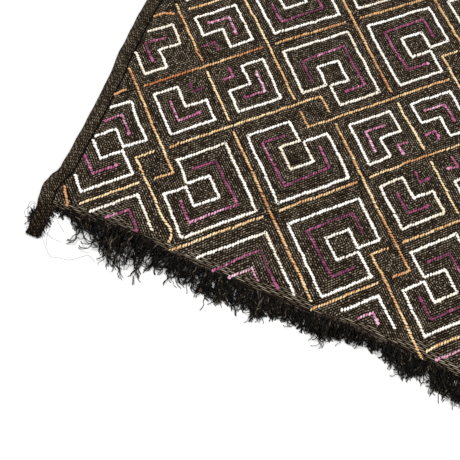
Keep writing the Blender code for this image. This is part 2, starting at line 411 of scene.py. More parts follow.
# Folding the chart at every even line gives the way to an even block, and the rest of the unit the way
# to an odd one. Where both ways are short in both directions stands a small block, else a large one.
BLOCK_RECIPE = (
    ("even_a", "PINGPONG", "a", 1.0),
    ("even_b", "PINGPONG", "b", 1.0),
    ("odd_a", "SUBTRACT", 1.0, "even_a"),
    ("odd_b", "SUBTRACT", 1.0, "even_b"),
    ("swap_a", "SUBTRACT", "even_a", "odd_a"),
    ("swap_b", "SUBTRACT", "even_b", "odd_b"),
    ("from_even", "MAXIMUM", "even_a", "even_b"),
    ("from_odd", "MAXIMUM", "odd_a", "odd_b"),
    ("even_nearer", "LESS_THAN", "from_even", "from_odd"),
    ("from_small", "MINIMUM", "from_even", "from_odd"),
    ("in_small", "LESS_THAN", "from_small", SMALL_HALF),
    ("small_a", "MULTIPLY_ADD", "swap_a", "even_nearer", "odd_a"),
    ("small_b", "MULTIPLY_ADD", "swap_b", "even_nearer", "odd_b"),
    ("from_mixed", "MAXIMUM", "even_a", "odd_b"),
    ("from_other", "MAXIMUM", "odd_a", "even_b"),
    ("mixed_nearer", "LESS_THAN", "from_mixed", "from_other"),
    ("other_nearer", "SUBTRACT", 1.0, "mixed_nearer"),
    ("large_a", "MULTIPLY_ADD", "swap_a", "mixed_nearer", "odd_a"),
    ("large_b", "MULTIPLY_ADD", "swap_b", "other_nearer", "odd_b"),
    ("small_x", "SUBTRACT", "small_a", SMALL_HALF / 2),
    ("small_y", "SUBTRACT", "small_b", SMALL_HALF / 2),
    ("large_x", "SUBTRACT", "large_a", LARGE_HALF / 2),
    ("large_y", "SUBTRACT", "large_b", LARGE_HALF / 2),
    ("step_x", "SUBTRACT", "small_x", "large_x"),
    ("step_y", "SUBTRACT", "small_y", "large_y"),
    ("x", "MULTIPLY_ADD", "step_x", "in_small", "large_x"),
    ("y", "MULTIPLY_ADD", "step_y", "in_small", "large_y"),
    ("wide", "ABSOLUTE", "x"),
    ("tall", "ABSOLUTE", "y"),
    ("ring", "MAXIMUM", "wide", "tall"),
    ("sideways", "GREATER_THAN", "wide", "tall"),
    ("swap", "SUBTRACT", "y", "x"),
    ("along", "MULTIPLY_ADD", "swap", "sideways", "x"),
    ("ring_row", "MULTIPLY", "ring", REPEAT / ROW_PITCH),
    ("ring_step", "MULTIPLY", "along", REPEAT / STITCH_PITCH),
    ("patch_a", "FLOOR", "a"),
    ("patch_b", "FLOOR", "b"),
    ("patch", "MULTIPLY_ADD", "patch_b", 13.0, "patch_a"),
)

print("nodes to find a row and a stitch:", len(BLOCK_RECIPE))

# %% One stitch of the ground
STITCH_RECIPE = (
    ("row_number", "FLOOR", "row"),
    ("row_place", "FRACT", "row"),
    ("staggered", "MULTIPLY_ADD", "row_number", 0.37, "step"),
    ("step_number", "FLOOR", "staggered"),
    ("step_place", "FRACT", "staggered"),
    ("row_off", "SUBTRACT", "row_place", 0.5),
    ("row_square", "MULTIPLY", "row_off", "row_off"),
    ("row_curve", "MULTIPLY_ADD", "row_square", -5.4, 1.0),
    ("row_swell", "MAXIMUM", "row_curve", 0.0),
    ("step_off", "SUBTRACT", "step_place", 0.5),
    ("step_square", "MULTIPLY", "step_off", "step_off"),
    ("step_fourth", "MULTIPLY", "step_square", "step_square"),
    ("step_curve", "MULTIPLY_ADD", "step_fourth", -16.0, 1.0),
    ("step_swell", "MAXIMUM", "step_curve", 0.0),
    ("swell", "MULTIPLY", "row_swell", "step_swell"),
)


print("nodes for a stitch:", len(STITCH_RECIPE))

# %% Colour and relief of the stitches
# A dark line along the seam beside the hem, partly the seam's own dark edge and partly painted shadow of the
# groove there: millimetres in from the edge, half its width, and how dark it is
SEAM_IN = 8.75
SEAM_HALF_WIDTH = 0.5
SEAM_PAINTED_SHADOW = 0.75


def stitched_finish(tree, shader, known, stops, depth):
    """Give a shader the colours and the swelling of stitches in rows, with painted shade in the gaps between
    stitches, painted light on their tops and a painted shadow along the seam.
    """
    known = follow(tree, known, STITCH_RECIPE)
    place = {"X": known["row_number"], "Y": known["step_number"], "Z": known["patch"]}
    cell = add(tree, "ShaderNodeCombineXYZ", {}, place)
    chance = add(tree, "ShaderNodeTexWhiteNoise", {"noise_dimensions": "3D"}, {"Vector": cell})
    known["chance"] = chance.outputs["Value"]
    mix = (
        ("shade", "MULTIPLY_ADD", "chance", "variety", "darkest"),
        ("cloudy_shade", "MULTIPLY_ADD", "cloud", 0.2, "shade"),
        # Painted shadow in the seam's groove, partly the seam's own dark edge
        ("seam_off", "SUBTRACT", "inward", SEAM_IN),
        ("seam_away", "ABSOLUTE", "seam_off"),
        ("in_seam", "LESS_THAN", "seam_away", SEAM_HALF_WIDTH),
        ("light_left", "MULTIPLY_ADD", "in_seam", -SEAM_PAINTED_SHADOW, 1.0),
        ("seamed_shade", "MULTIPLY", "cloudy_shade", "light_left"),
        ("lit_shade", "MULTIPLY", "seamed_shade", "light"),
        # Painted shade and light: the stitch's tone is multiplied by its swelling, so it is dark in the gaps
        # and light on its top
        ("cloudy_tone", "MULTIPLY", "lit_shade", "swell"),
    )
    known = follow(tree, known, mix)
    ramp = add(tree, "ShaderNodeValToRGB", {"stops": stops}, {"Fac": known["cloudy_tone"]})
    bump = add(tree, "ShaderNodeBump", {}, {"Strength": 0.9, "Distance": depth, "Height": known["swell"]})
    tree.links.new(ramp.outputs["Color"], shader.inputs["Base Color"])
    tree.links.new(bump.outputs["Normal"], shader.inputs["Normal"])


def split(tree, attribute, shake, shake_size):
    """The parts of a stored place, shaken a little so that rows run unevenly."""
    place = add(tree, "ShaderNodeAttribute", {"attribute_name": attribute})
    panel = add(tree, "ShaderNodeAttribute", {"attribute_name": "panel"})
    jitter = add(tree, "ShaderNodeTexNoise", {}, {"Vector": panel.outputs["Vector"], "Scale": shake_size})
    known = {"jitter": jitter.outputs["Color"], "place": place.outputs["Vector"]}
    shift = (
        ("centred", "VectorMath SUBTRACT", "jitter", (0.5, 0.5, 0.5)),
        ("moved", "VectorMath MULTIPLY_ADD", "centred", (shake, shake, shake), "place"),
    )
    moved = follow(tree, known, shift)["moved"]
    parts = add(tree, "ShaderNodeSeparateXYZ", {}, {0: moved})
    wide = {"Vector": panel.outputs["Vector"], "Scale": 0.09, "Detail": 3.0}
    cloud = add(tree, "ShaderNodeTexNoise", {}, wide)
    return parts, panel, cloud.outputs["Fac"]


# From the painted shade in the gaps between stitches to the painted light on the top of a pale one, with the
# raffia's own dark and pale tones between them
GROUND_STOPS_WITH_PAINTED_SHADE = ((0.0, "#010100"), (0.3, "#18100a"), (0.55, "#4c4133"), (0.8, "#7c7161"), (1.0, "#a79c8d"))


print("ground colours:", [colour for place, colour in GROUND_STOPS_WITH_PAINTED_SHADE])


# %% Ground and hem finishes
def raffia_ground():
    """Dull dark raffia, worked in rounds, with bare weft threads along the fringed edge."""
    finish, tree, shader = new_finish("dyed_raffia_ground_with_painted_shade", 0.72)
    shader.inputs["Specular IOR Level"].default_value = 0.04
    parts, panel, cloud = split(tree, "chart", 0.011, 0.5)
    known = {"a": parts.outputs["X"], "b": parts.outputs["Y"], "cloud": cloud}
    known = follow(tree, known, BLOCK_RECIPE)
    straight = add(tree, "ShaderNodeSeparateXYZ", {}, {0: panel.outputs["Vector"]})
    known["panel_x"], known["panel_y"] = straight.outputs["X"], straight.outputs["Y"]
    from_edge = add(tree, "ShaderNodeAttribute", {"attribute_name": "hem"})
    known["inward"] = add(tree, "ShaderNodeSeparateXYZ", {}, {0: from_edge.outputs["Vector"]}).outputs["Y"]
    edge_noise = add(tree, "ShaderNodeTexNoise", {}, {"Vector": panel.outputs["Vector"], "Scale": 0.035})
    known["edge_noise"] = edge_noise.outputs["Fac"]
    # Millimetres: where the rows end, how much lighter the bare threads are towards the right, and
    # how the last rows darken at the edge
    band = (
        ("reach", "MULTIPLY_ADD", "edge_noise", 30.0, -9.5),
        ("bare", "LESS_THAN", "panel_y", "reach"),
        ("rightward", "MULTIPLY_ADD", "panel_x", 0.004, -0.72),
        ("rightward_from", "MAXIMUM", "rightward", 0.2),
        ("rightward_to", "MINIMUM", "rightward_from", 0.5),
        ("band_light", "MULTIPLY_ADD", "bare", "rightward_to", 1.0),
        ("edge_dusk", "MULTIPLY_ADD", "panel_y", 0.07, 0.78),
        ("edge_dusk_to", "MINIMUM", "edge_dusk", 1.0),
        ("light", "MULTIPLY", "band_light", "edge_dusk_to"),
        ("variety", "MULTIPLY_ADD", "bare", -0.2, 0.5),
        ("darkest", "MULTIPLY_ADD", "bare", 0.13, 0.37),
        ("weft_row", "MULTIPLY", "panel_y", MM / WEFT_PITCH),
        ("weft_step", "MULTIPLY", "panel_x", MM / WEFT_STITCH),
        ("row_swap", "SUBTRACT", "weft_row", "ring_row"),
        ("step_swap", "SUBTRACT", "weft_step", "ring_step"),
        ("row", "MULTIPLY_ADD", "row_swap", "bare", "ring_row"),
        ("step", "MULTIPLY_ADD", "step_swap", "bare", "ring_step"),
    )
    known = follow(tree, known, band)
    stitched_finish(tree, shader, known, GROUND_STOPS_WITH_PAINTED_SHADE, 0.35 * MM)
    return finish


def raffia_hem():
    """The same raffia on the rolled hem, where the weave crosses it in a slanting zigzag."""
    finish, tree, shader = new_finish("rolled_raffia_hem", 0.75)
    shader.inputs["Specular IOR Level"].default_value = 0.04
    parts, panel, cloud = split(tree, "hem", 0.5, 0.45)
    known = {"s": parts.outputs["X"], "q": parts.outputs["Y"], "cloud": cloud, "patch": 0.0}
    known["panel_y"] = add(tree, "ShaderNodeSeparateXYZ", {}, {0: panel.outputs["Vector"]}).outputs["Y"]
    slant = (
        ("q_middle", "SUBTRACT", "q", 4.2),
        ("q_out", "ABSOLUTE", "q_middle"),
        ("slanted", "MULTIPLY_ADD", "q_out", 0.8, "s"),
        ("row", "MULTIPLY", "slanted", MM / ROW_PITCH),
        ("step", "MULTIPLY", "q", MM / STITCH_PITCH),
        ("down_stub", "MULTIPLY_ADD", "panel_y", 0.05, 1.05),
        ("kept", "MAXIMUM", "down_stub", 0.78),
        ("kept_at_most", "MINIMUM", "kept", 1.0),
        ("on_stub", "LESS_THAN", "panel_y", -1.5),
        # On the stub the distance is pushed far out, so the painted seam shadow stays off it
        ("inward", "MULTIPLY_ADD", "on_stub", 20.0, "q"),
        # Painted shade: dark bands across the stub where its creases would be in shade
        ("crease_place", "MULTIPLY_ADD", "panel_y", 1.9, "q"),
        ("crease_wave", "SINE", "crease_place"),
        ("crease", "GREATER_THAN", "crease_wave", 0.45),
        ("stub_crease", "MULTIPLY", "crease", "on_stub"),
        ("light", "MULTIPLY_ADD", "stub_crease", -0.4, 1.0),
        ("variety", "MULTIPLY", "kept_at_most", 0.4),
        ("darkest", "MULTIPLY", "kept_at_most", 0.42),
    )
    known = follow(tree, known, slant)
    stitched_finish(tree, shader, known, GROUND_STOPS_WITH_PAINTED_SHADE, 0.4 * MM)
    return finish


GROUND, HEM = raffia_ground(), raffia_hem()
print("finishes:", GROUND.name, HEM.name)

# %% [markdown]
# ### Embroidery threads
# The threads are split raffia fibre, flat and a little glossy. The white is bleached, and the
# magenta and orange took their dye unevenly: whole stretches are pale, and each stitch differs a
# little. Every stitch carries its own tint, which the shader reads from the mesh.

# %% Thread finishes
# The fine grain of split raffia is drawn at 0.4 mm, about twice its real size, so that it shows
GRAINS_A_METRE = 2600.0


def thread_finish(name, stops, roughness):
    """A raffia thread whose colour follows the tint that each stitch carries."""
    finish, tree, shader = new_finish(name, roughness)
    tint = add(tree, "ShaderNodeAttribute", {"attribute_name": "tint"})
    ramp = add(tree, "ShaderNodeValToRGB", {"stops": stops}, {"Fac": tint.outputs["Fac"]})
    tree.links.new(ramp.outputs["Color"], shader.inputs["Base Color"])
    place = add(tree, "ShaderNodeTexCoord")
    grain = {"Vector": place.outputs["Object"], "Scale": GRAINS_A_METRE}
    fibre = add(tree, "ShaderNodeTexNoise", {}, grain)
    relief = {"Strength": 0.5, "Distance": 0.1 * MM, "Height": fibre.outputs["Fac"]}
    bump = add(tree, "ShaderNodeBump", {}, relief)
    tree.links.new(bump.outputs["Normal"], shader.inputs["Normal"])
    return finish


THREAD_STOPS = {
    "white": ((0.0, "#ead9ba"), (0.4, "#f8efdf"), (1.0, "#fffbf4")),
    "magenta": ((0.0, "#622044"), (0.4, "#9d4270"), (0.7, "#c97ca0"), (1.0, "#f1c8d8")),
    "orange": ((0.0, "#b46a36"), (0.35, "#d29a64"), (0.7, "#ebc086"), (1.0, "#fbe3b6")),
}
DYES = {"white": "bleached", "magenta": "magenta", "orange": "orange"}
THREADS = {}
for thread, stops in THREAD_STOPS.items():
    THREADS[thread] = thread_finish(DYES[thread] + "_raffia_thread", stops, 0.55)
print("threads:", sorted(THREADS))

# %% [markdown]
# ### Cut ends
# The fringe is the same dyed fibre, cut and teased out: nearly black, with dull brown specks
# along each fibre that are partly its own brown and partly painted glints.

# %% Fringe finish
def fringe_finish():
    """Near black raffia fibre, with brown specks that are partly its own colour and partly painted glints.
    """
    finish, tree, shader = new_finish("dyed_raffia_ends_with_painted_glints", 0.5)
    shader.inputs["Specular IOR Level"].default_value = 0.12
    tint = add(tree, "ShaderNodeAttribute", {"attribute_name": "tint"})
    # The palest stops are painted glints; the browns below them are partly the fibre's own colour
    stops = ((0.0, "#000000"), (0.45, "#0b0806"), (0.75, "#33291e"), (1.0, "#75685a"))
    ramp = add(tree, "ShaderNodeValToRGB", {"stops": stops}, {"Fac": tint.outputs["Fac"]})
    tree.links.new(ramp.outputs["Color"], shader.inputs["Base Color"])
    return finish


FRINGE = fringe_finish()
print("finish:", FRINGE.name)

# %% [markdown]
# ## The cloth
# The panel is one sheet. Cloth physics could drape it, but it has to lie on the folds that the
# solid already has. So a bmesh grid is made with its lines close together over the hems, then
# extruded up as a second layer, and each layer is laid on the folds. The rolled hem is read
# from a short profile: it rises from the edge, falls in a step at the seam and leaves a groove there.

# %% Hem profile
# Distance in from the edge, height of the upper side, height of the underside
HEM_PROFILE = in_metres(
    (0.0, 1.5, 0.8), (0.4, 2.4, 0.3), (1.0, 3.1, 0.1), (2.0, 3.7, 0.0), (3.2, 4.0, 0.0),
    (4.6, 4.0, 0.0), (6.0, 3.5, 0.0), (7.2, 2.8, 0.0), (7.9, 2.2, 0.0), (8.3, 1.7, 0.0),
    (8.8, 1.4, 0.0), (9.5, 1.6, 0.0), (10.6, 1.8, 0.0), (11.9, 1.8, 0.0)
)
SHEET_STEP = 3.4 * MM
STUB_STEP = 2.0 * MM
HEM_LUMP = 0.35 * MM
CLOTH_LUMP = 0.12 * MM
STUB_HEIGHT = 4.0 * MM
STUB_END_HEIGHT = 2.4 * MM


def profile_heights(distance):
    """Heights of the upper side and the underside at a distance in from a hemmed edge."""
    upper = [(row[0], row[1]) for row in HEM_PROFILE]
    under = [(row[0], row[2]) for row in HEM_PROFILE]
    return interpolate(upper, distance), interpolate(under, distance)


print("hem height: %.1f mm" % (max(row[1] for row in HEM_PROFILE) / MM))


# %% Heights of the sheet
def sheet_heights(x, y):
    """Heights of both sides of the sheet over the surface, at a place on the straight panel."""
    if y < -LOOSE_EDGE - HAIR:
        full = STUB_HEIGHT + (STUB_END_HEIGHT - STUB_HEIGHT) * -y / STUB_LENGTH
        swell = math.sin(math.pi * min(max(x / STUB_WIDTH, 0.02), 0.98)) ** 0.5
        upper, under = 0.6 * MM + (full - 0.6 * MM) * swell, 0.3 * MM * (1 - swell)
        lump = HEM_LUMP
    else:
        distance = max(0.0, min(x, PANEL_WIDTH - x, PANEL_HEIGHT - y))
        upper, under = profile_heights(distance)
        lump = HEM_LUMP if distance < HEM_WIDTH - 1 * MM else CLOTH_LUMP
    rough = noise.noise(Vector((x / (7 * MM), y / (7 * MM), 1.3)))
    base = lift(x, y)
    if -LOOSE_EDGE - HAIR < y < 0 and x > STUB_WIDTH + HAIR:
        upper += 0.9 * y / LOOSE_EDGE * MM
    return base + upper + lump * rough, base + under


print("height inside the hem: %.1f mm" % (sheet_heights(300 * MM, 200 * MM)[0] / MM))


# %% Grid of the sheet
def evenly(start, end, step):
    """Places between two ends, without the ends, about a step apart."""
    count = round((end - start) / step)
    return [start + (end - start) * index / count for index in range(1, count)]


def sheet_grid():
    """A flat grid with close lines over the hems, without the part beside the hem's stub."""
    hem = [row[0] for row in HEM_PROFILE]
    far_hem = [PANEL_WIDTH - place for place in reversed(hem)]
    top_hem = [PANEL_HEIGHT - place for place in reversed(hem)]
    columns = hem + evenly(hem[-1], far_hem[0], SHEET_STEP) + far_hem
    rows = [-STUB_LENGTH] + evenly(-STUB_LENGTH, -LOOSE_EDGE, STUB_STEP)
    rows += [-LOOSE_EDGE, -0.5 * LOOSE_EDGE, 0.0]
    rows += evenly(0, top_hem[0], SHEET_STEP) + top_hem
    bm = bmesh.new()
    bmesh.ops.create_grid(bm, x_segments=len(columns) - 1, y_segments=len(rows) - 1, size=1.0)
    for vertex in bm.verts:
        column = round((vertex.co.x + 1) / 2 * (len(columns) - 1))
        row = round((vertex.co.y + 1) / 2 * (len(rows) - 1))
        vertex.co = Vector((columns[column], rows[row], 0.0))
    beside = [face for face in bm.faces if face.calc_center_median().y < -LOOSE_EDGE
              and face.calc_center_median().x > STUB_WIDTH]
    bmesh.ops.delete(bm, geom=beside, context="FACES")
    return bm


def chart_place(x, y):
    """The chart point under a place on the panel, with the hand's drift taken out."""
    drift_x, drift_y = hand_drift(x, y)
    half_diagonal = REPEAT / math.sqrt(2)
    total = (x - drift_x - FIRST_BLOCK[0]) / half_diagonal
    difference = (y - drift_y - FIRST_BLOCK[1]) / half_diagonal
    return (total + difference) / 2, (total - difference) / 2


print("sides of a grid cell:", SHEET_STEP)

# %% Lay the sheet
# How far the noise pushes the outline about, and how far in from it the push dies away
RAGGED = 0.5 * MM
RAGGED_WITHIN = 12 * MM


def make_sheet():
    """The laid sheet, with its chart, panel and hem places stored on its points."""
    bm = sheet_grid()
    chart = bm.verts.layers.float_vector.new("chart")
    panel = bm.verts.layers.float_vector.new("panel")
    hem = bm.verts.layers.float_vector.new("hem")
    under = list(bm.verts)
    raised = bmesh.ops.extrude_face_region(bm, geom=bm.faces[:], use_keep_orig=True)
    upper = [item for item in raised["geom"] if isinstance(item, bmesh.types.BMVert)]
    for side, vertices in enumerate((under, upper)):
        for vertex in vertices:
            x, y = vertex.co.x, vertex.co.y
            top, bottom = sheet_heights(x, y)
            laid_x, laid_y = laid_place(x, y)
            from_outline = min(x, PANEL_WIDTH - x, PANEL_HEIGHT - y, y + LOOSE_EDGE)
            nearness = max(0.0, 1 - from_outline / RAGGED_WITHIN)
            push = noise.noise_vector(Vector((x / (9 * MM), y / (9 * MM), 6.2))) * RAGGED * min(1, nearness)
            laid_x, laid_y = laid_x + push.x, laid_y + push.y
            vertex[chart] = Vector((*chart_place(laid_x, laid_y), 0))
            vertex[panel] = Vector((laid_x / MM, laid_y / MM, 0))
            edges = ((x, y), (PANEL_WIDTH - x, y), (PANEL_HEIGHT - y, x))
            distance, along = min(edges)
            vertex[hem] = Vector((along / MM, distance / MM, 0))
            vertex.co = CORNER + Vector((laid_x, laid_y, top if side else bottom))
    bmesh.ops.recalc_face_normals(bm, faces=bm.faces)
    for face in bm.faces:
        face.smooth = True
        centre = face.calc_center_median() - CORNER
        from_side = centre.x - interpolate(SIDE_OUTLINE, centre.y)
        to_edge = min(from_side, PANEL_WIDTH - centre.x, PANEL_HEIGHT - centre.y)
        face.material_index = 1 if to_edge < HEM_WIDTH - 0.1 * MM or centre.y < -LOOSE_EDGE else 0
    mesh = bpy.data.meshes.new("raffia_panel")
    bm.to_mesh(mesh)
    bm.free()
    mesh.materials.append(GROUND)
    mesh.materials.append(HEM)
    sheet = bpy.data.objects.new("raffia_panel", mesh)
    bpy.context.scene.collection.objects.link(sheet)
    return sheet


panel = make_sheet()
print("sheet faces:", len(panel.data.polygons))

# %% [markdown]
# ## Stitches
# Each bright line is stem stitch: short slanting stitches that overlap like the strands of a
# rope, which gives the line its saw-toothed edge. The lines could be painted on the sheet, but
# thread stands up and catches the light. One stitch is a small bmesh grain of a dozen faces.
# The script walks along each charted line and notes where every stitch goes, and Geometry
# Nodes put a copy of the grain at each place and make the copies real.

# %% One stitch
STITCH_STEP = 1.7 * MM
STITCH_SLANT = 37
STITCH_SHAKE = 0.13 * MM
# Length, width and height of a stitch
STITCH_SIZES = {
    "white": (2.8 * MM, 1.25 * MM, 0.9 * MM),
    "magenta": (2.5 * MM, 1.0 * MM, 0.9 * MM),
    "orange": (2.6 * MM, 0.95 * MM, 0.9 * MM),
}
SEAM_INSET = 10.2 * MM
# Distance along the fringed edge, how far above it the embroidery stops
EMBROIDERY_EDGE = in_metres(
    (17, 11.0), (23, 9.6), (29, 3.8), (40, 2.6), (62, 2.6), (70, 6.5), (82, 4.0), (100, 2.8),
    (110, 1.2), (122, 1.2), (146, 6.5), (165, 4.5), (185, 5.0), (205, 6.0), (220, 8.5), (232, 5.5),
    (242, 3.5), (252, 4.0), (300, 6.0), (380, 3.5), (470, 7.0), (560, 4.0)
)
# How much nearer to the fringe than that the lines of a thread may run
EDGE_REACH = {"white": 0.0, "magenta": 1.0 * MM, "orange": 4.2 * MM}
# A trimmed line with fewer stitches than this is left out
SHORTEST_RUN = 9
# The pieces put in freely are sewn with a wider thread
FREE_WIDTH = 1.3
# Height of a stitch's middle over the cloth
STITCH_RISE = 0.12 * MM
# Lowest and highest tint that a line may start from
LINE_TINTS = {"white": (0.45, 1.15), "magenta": (0.22, 0.78), "orange": (0.3, 1.0)}


def stitch_grain():
    """A small pointed grain, one unit long, wide and high."""
    bm = bmesh.new()
    bmesh.ops.create_uvsphere(bm, u_segments=4, v_segments=3, radius=0.5)
    bmesh.ops.rotate(bm, verts=bm.verts, matrix=Matrix.Rotation(math.radians(45), 3, "Z"))
    bmesh.ops.rotate(bm, verts=bm.verts, matrix=Matrix.Rotation(math.radians(90), 3, "Y"))
    half_width = max(vertex.co.y for vertex in bm.verts)
    half_height = max(vertex.co.z for vertex in bm.verts)
    bmesh.ops.scale(bm, verts=bm.verts, vec=(1, 0.5 / half_width, 0.5 / half_height))
    for face in bm.faces:
        face.smooth = True
    mesh = bpy.data.meshes.new("stitch_grain")
    bm.to_mesh(mesh)
    bm.free()
    grain = bpy.data.objects.new("stitch_grain", mesh)
    bpy.context.scene.collection.objects.link(grain)
    return grain


GRAIN = stitch_grain()
print("grain faces:", len(GRAIN.data.polygons))


# %% Walk along the lines
def top_of_cloth(x, y):
    """Height of the sheet's upper side at a laid place inside the hems."""
    return lift(x, y) + CLOTH_THICKNESS


def inside_seams(x, y, margin):
    """Whether a place lies inside the hems' seams and clear of the fringed edge."""
    left = interpolate(SIDE_OUTLINE, y) + SEAM_INSET
    clear_of_sides = left < x < PANEL_WIDTH - SEAM_INSET
    lowest = edge_line(x) + interpolate(EMBROIDERY_EDGE, x) + margin
    return clear_of_sides and lowest < y < PANEL_HEIGHT - SEAM_INSET


def stitches_along(thread, points, chance, free=False):
    """Where each stitch of a line goes: place, turn, size and tint. A free line isn't trimmed."""
    length, width, height = STITCH_SIZES[thread]
    if free:
        width *= FREE_WIDTH
    mood = chance.uniform(0, 100)
    base_tint = chance.uniform(*LINE_TINTS[thread])
    margin = chance.uniform(-0.5, 0.8) * MM - EDGE_REACH[thread]
    travelled = 0.0
    runs = [[]]
    for start, end in zip(points, points[1:]):
        count = max(1, round((end - start).length / STITCH_STEP))
        heading = math.atan2(end.y - start.y, end.x - start.x)
        overshoot = chance.uniform(0, 0.35)
        for index in range(count):
            place = start.lerp(end, (index + 0.5 + overshoot * (2 * index / count - 1)) / count)
            travelled += STITCH_STEP
            drift_x, drift_y = hand_drift(place.x, place.y)
            x = place.x + drift_x + chance.gauss(0, STITCH_SHAKE)
            y = place.y + drift_y + chance.gauss(0, STITCH_SHAKE)
            if not free and not inside_seams(x, y, margin):
                runs.append([])
                continue
            slant = heading + math.radians(STITCH_SLANT + chance.gauss(0, 8))
            size = chance.uniform(0.85, 1.15)
            wave = base_tint + 0.65 * noise.noise(Vector((travelled / (24 * MM), mood, 0)))
            tint = min(1.0, max(0.0, wave + chance.gauss(0, 0.14)))
            rise = top_of_cloth(x, y) + STITCH_RISE
            spot = (CORNER + Vector((x, y, rise)), slant, (length * size, width * size, height), tint)
            runs[-1].append(spot)
    for run in runs:
        if thread == "magenta" and len(run) > 3:
            for place, turn, size, tint in (run[0], run[1], run[-2], run[-1]):
                if chance.random() < 0.45:
                    beside = Vector((-math.sin(turn), math.cos(turn), 0.1)) * chance.choice((-0.8, 0.8)) * MM
                    run.append((place + beside, turn + chance.gauss(0, 0.2), size, tint))
    whole = travelled / STITCH_STEP
    return [spot for run in runs if free or len(run) >= min(SHORTEST_RUN, 0.6 * whole) for spot in run]


print("top of the cloth at the first block: %.1f mm" % (top_of_cloth(*FIRST_BLOCK) / MM))

# %% Copies by Geometry Nodes
def scattered(name, spots, finish):
    """One mesh with a grain at each spot, its tint kept on its points."""
    mesh = bpy.data.meshes.new(name)
    mesh.from_pydata([spot[0] for spot in spots], [], [])
    turns = mesh.attributes.new("turn", "FLOAT_VECTOR", "POINT")
    turns.data.foreach_set("vector", [value for spot in spots for value in (0, 0, spot[1])])
    sizes = mesh.attributes.new("size", "FLOAT_VECTOR", "POINT")
    sizes.data.foreach_set("vector", [value for spot in spots for value in spot[2]])
    tints = mesh.attributes.new("tint", "FLOAT", "POINT")
    tints.data.foreach_set("value", [spot[3] for spot in spots])
    tree = bpy.data.node_groups.new(name, "GeometryNodeTree")
    tree.interface.new_socket("Geometry", in_out="INPUT", socket_type="NodeSocketGeometry")
    tree.interface.new_socket("Geometry", in_out="OUTPUT", socket_type="NodeSocketGeometry")
    points = add(tree, "NodeGroupInput")
    grain = add(tree, "GeometryNodeObjectInfo", {}, {"Object": GRAIN})
    turn_in = add(tree, "GeometryNodeInputNamedAttribute", {"data_type": "FLOAT_VECTOR"}, {"Name": "turn"})
    size_in = add(tree, "GeometryNodeInputNamedAttribute", {"data_type": "FLOAT_VECTOR"}, {"Name": "size"})
    copies = add(tree, "GeometryNodeInstanceOnPoints", {}, {
        "Points": points, "Instance": grain.outputs["Geometry"],
        "Rotation": turn_in.outputs["Attribute"], "Scale": size_in.outputs["Attribute"]})
    real = add(tree, "GeometryNodeRealizeInstances", {}, {"Geometry": copies})
    add(tree, "NodeGroupOutput", {}, {"Geometry": real})
    piece = bpy.data.objects.new(name, mesh)
    bpy.context.scene.collection.objects.link(piece)
    piece.modifiers.new("copies", "NODES").node_group = tree
    made = piece.evaluated_get(bpy.context.evaluated_depsgraph_get())
    piece.data = bpy.data.meshes.new_from_object(made)
    piece.modifiers.clear()
    for spare in ("turn", "size"):
        piece.data.attributes.remove(piece.data.attributes[spare])
    piece.data.materials.clear()
    piece.data.materials.append(finish)
    return piece


print("ready to copy a grain of", len(GRAIN.data.vertices), "points")

# %% [markdown]
# ### Sewing
# The stitches of each thread become one mesh, which is light enough to handle. Past a set number
# of stitches they would be shared out between more meshes.

# %% Sew the lines
# Threads of another shade: which colour they belong to, their lowest tint and how far it varies
SHADES = {"pink": ("magenta", 0.75, 0.25), "deep": ("orange", 0.1, 0.3)}


def sew():
    """The stitches of every bright line, gathered by thread."""
    chance = random.Random(11)
    sewn = {"white": [], "magenta": [], "orange": []}
    for thread, points in LINES:
        colour, lowest, share = SHADES.get(thread, (thread, 0.0, 1.0))
        spots = stitches_along(colour, points, chance, thread == "deep")
        sewn[colour].extend((place, turn, size, lowest + share * tint) for place, turn, size, tint in spots)
    return sewn


SEWN = sew()
STITCH_LIMIT = 9500
embroidery = []
for thread, spots in SEWN.items():
    parts = math.ceil(len(spots) / STITCH_LIMIT)
    share = math.ceil(len(spots) / parts)
    for part in range(parts):
        name = "%s_stitches_%d" % (thread, part + 1)
        piece = scattered(name, spots[part * share:(part + 1) * share], THREADS[thread])
        embroidery.append(piece)
    print(thread, "stitches:", len(spots), "in", parts, "pieces")
bpy.data.objects.remove(GRAIN)

# %% [markdown]
# ## The fringe
# The warp ends are cut and teased out, and lie on the surface in small messy locks. A flat card
# with a torn outline would be lighter, but only real fibres show the surface between them. So each
# fibre is a poly curve of a few points with a three-sided bevel, thinner to its tip. A lock has a
# few strands and a strand a few fibres. The lock gives them their direction and length, the
# strand its bend and curl, and one lone fibre in each lock goes its own way.

# %% Sizes of the fringe
# About twice the real thickness of a raffia fibre, so that single fibres show
FIBRE_RADIUS = 0.29 * MM
FIBRE_POINTS = 12
LOCK_STEP = 2.4 * MM
STRANDS_A_LOCK = 7
FIBRES_A_STRAND = 3
# Near the corner only a few strands of a lock are long, so the surface shows between them
OPEN_UNTIL = 90 * MM
LONG_STRANDS = 2
LONG_REACH, SHORT_REACH = (0.8, 1.15), (0.2, 0.55)
# Sharpest turn between two points of a fibre, in degrees
SHARPEST = 42
# Millimetres along the edge, length of the locks in millimetres, and how far they lean towards +X in degrees
FRINGE_TABLE = (
    (13, 6, 54), (20, 12, 54), (30, 19, 48), (44, 20, 26), (60, 21, -8), (84, 19, -24), (98, 14, -6),
    (112, 18, 14), (128, 16, 10), (142, 18, 16), (158, 12, 8), (180, 15, 12), (207, 8, 18),
    (238, 15, 20), (266, 17, 14), (340, 14, -6), (410, 18, 10), (480, 13, -4), (560, 16, 6),
)
LENGTHS = [(along * MM, length * MM) for along, length, lean in FRINGE_TABLE]
LEANS = [(along * MM, lean) for along, length, lean in FRINGE_TABLE]
print("rows of the fringe table:", len(FRINGE_TABLE))


